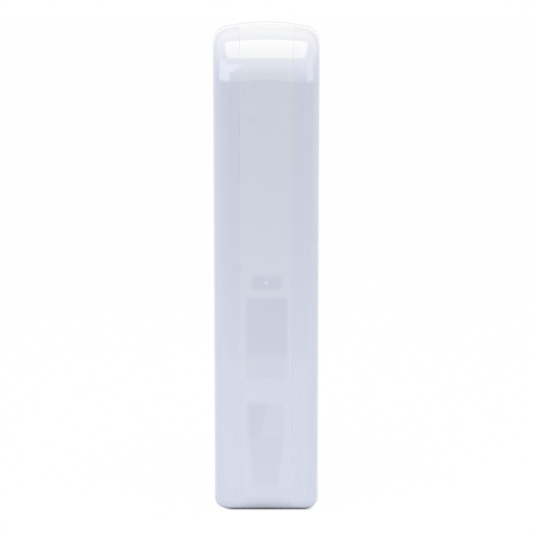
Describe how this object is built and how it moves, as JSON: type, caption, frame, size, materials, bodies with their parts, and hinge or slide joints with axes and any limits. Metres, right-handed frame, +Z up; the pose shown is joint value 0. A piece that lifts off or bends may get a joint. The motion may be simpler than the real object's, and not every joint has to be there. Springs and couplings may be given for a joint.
{
  "type": "curtain motion detector",
  "caption": "Slim upright wall detector in glossy white with a full-height milky lens strip over its rounded top, sensors behind it, a rear shell with screw holes and a sprung rear button.",
  "frame": {"origin": "middle of the flat foot, halfway between the front and the wall face", "axes": "+Z up along the column, +Y from the lens front towards the wall, +X to the right seen from the front"},
  "size_m": [0.03, 0.0375, 0.131],
  "materials": {
    "cover": "smooth glossy slightly bluish white",
    "lens": "milky translucent, satin gloss",
    "carrier": "fine matt white moulding",
    "clear": "clear moulded rod",
    "lamp": "small lamp chip",
    "board": "green solder mask",
    "can": "bright nickel-plated can",
    "filter": "dark mirror-like filter window",
    "cell": "plain sleeved cell",
    "holder": "black moulding",
    "contact": "plated spring metal",
    "chip": "black moulded package",
    "shield": "tinned shield",
    "ceramic_chip": "small ceramic chips",
    "capacitor": "plain can",
    "switch": "board switch",
    "plunger": "white moulded button",
    "base": "fine satin white moulding",
    "screw": "zinc-plated steel"
  },
  "bodies": {
    "casing": {"front_cover": "cover", "lens_strip": "lens", "optic_carrier": "carrier", "light_guide": "clear", "status_led": "lamp", "main_board": "board", "upper_sensor": "can", "lower_sensor": "can", "upper_sensor_filter": "filter", "lower_sensor_filter": "filter", "battery": "cell", "battery_holder": "holder", "battery_contact": "contact", "battery_spring": "contact", "microcontroller": "chip", "radio_shield": "shield", "crystal": "can", "signal_amplifiers": "chip", "chip_parts": "ceramic_chip", "storage_capacitor": "capacitor", "antenna": "contact", "tamper_switch": "switch", "tamper_spring": "contact", "rear_base": "base", "board_screws": "screw", "carrier_screws": "screw", "cover_screw": "screw"},
    "plunger": {"tamper_plunger": "plunger"}
  },
  "joints": [
    {"name": "tamper_slide", "type": "slide", "parent": "casing", "child": "plunger", "axis": [0, -1, 0], "range_m": [0, 0.0015], "stiffness_N_per_m": 250, "springref_m": -0.002, "deforming": ["tamper_spring"]}
  ]
}
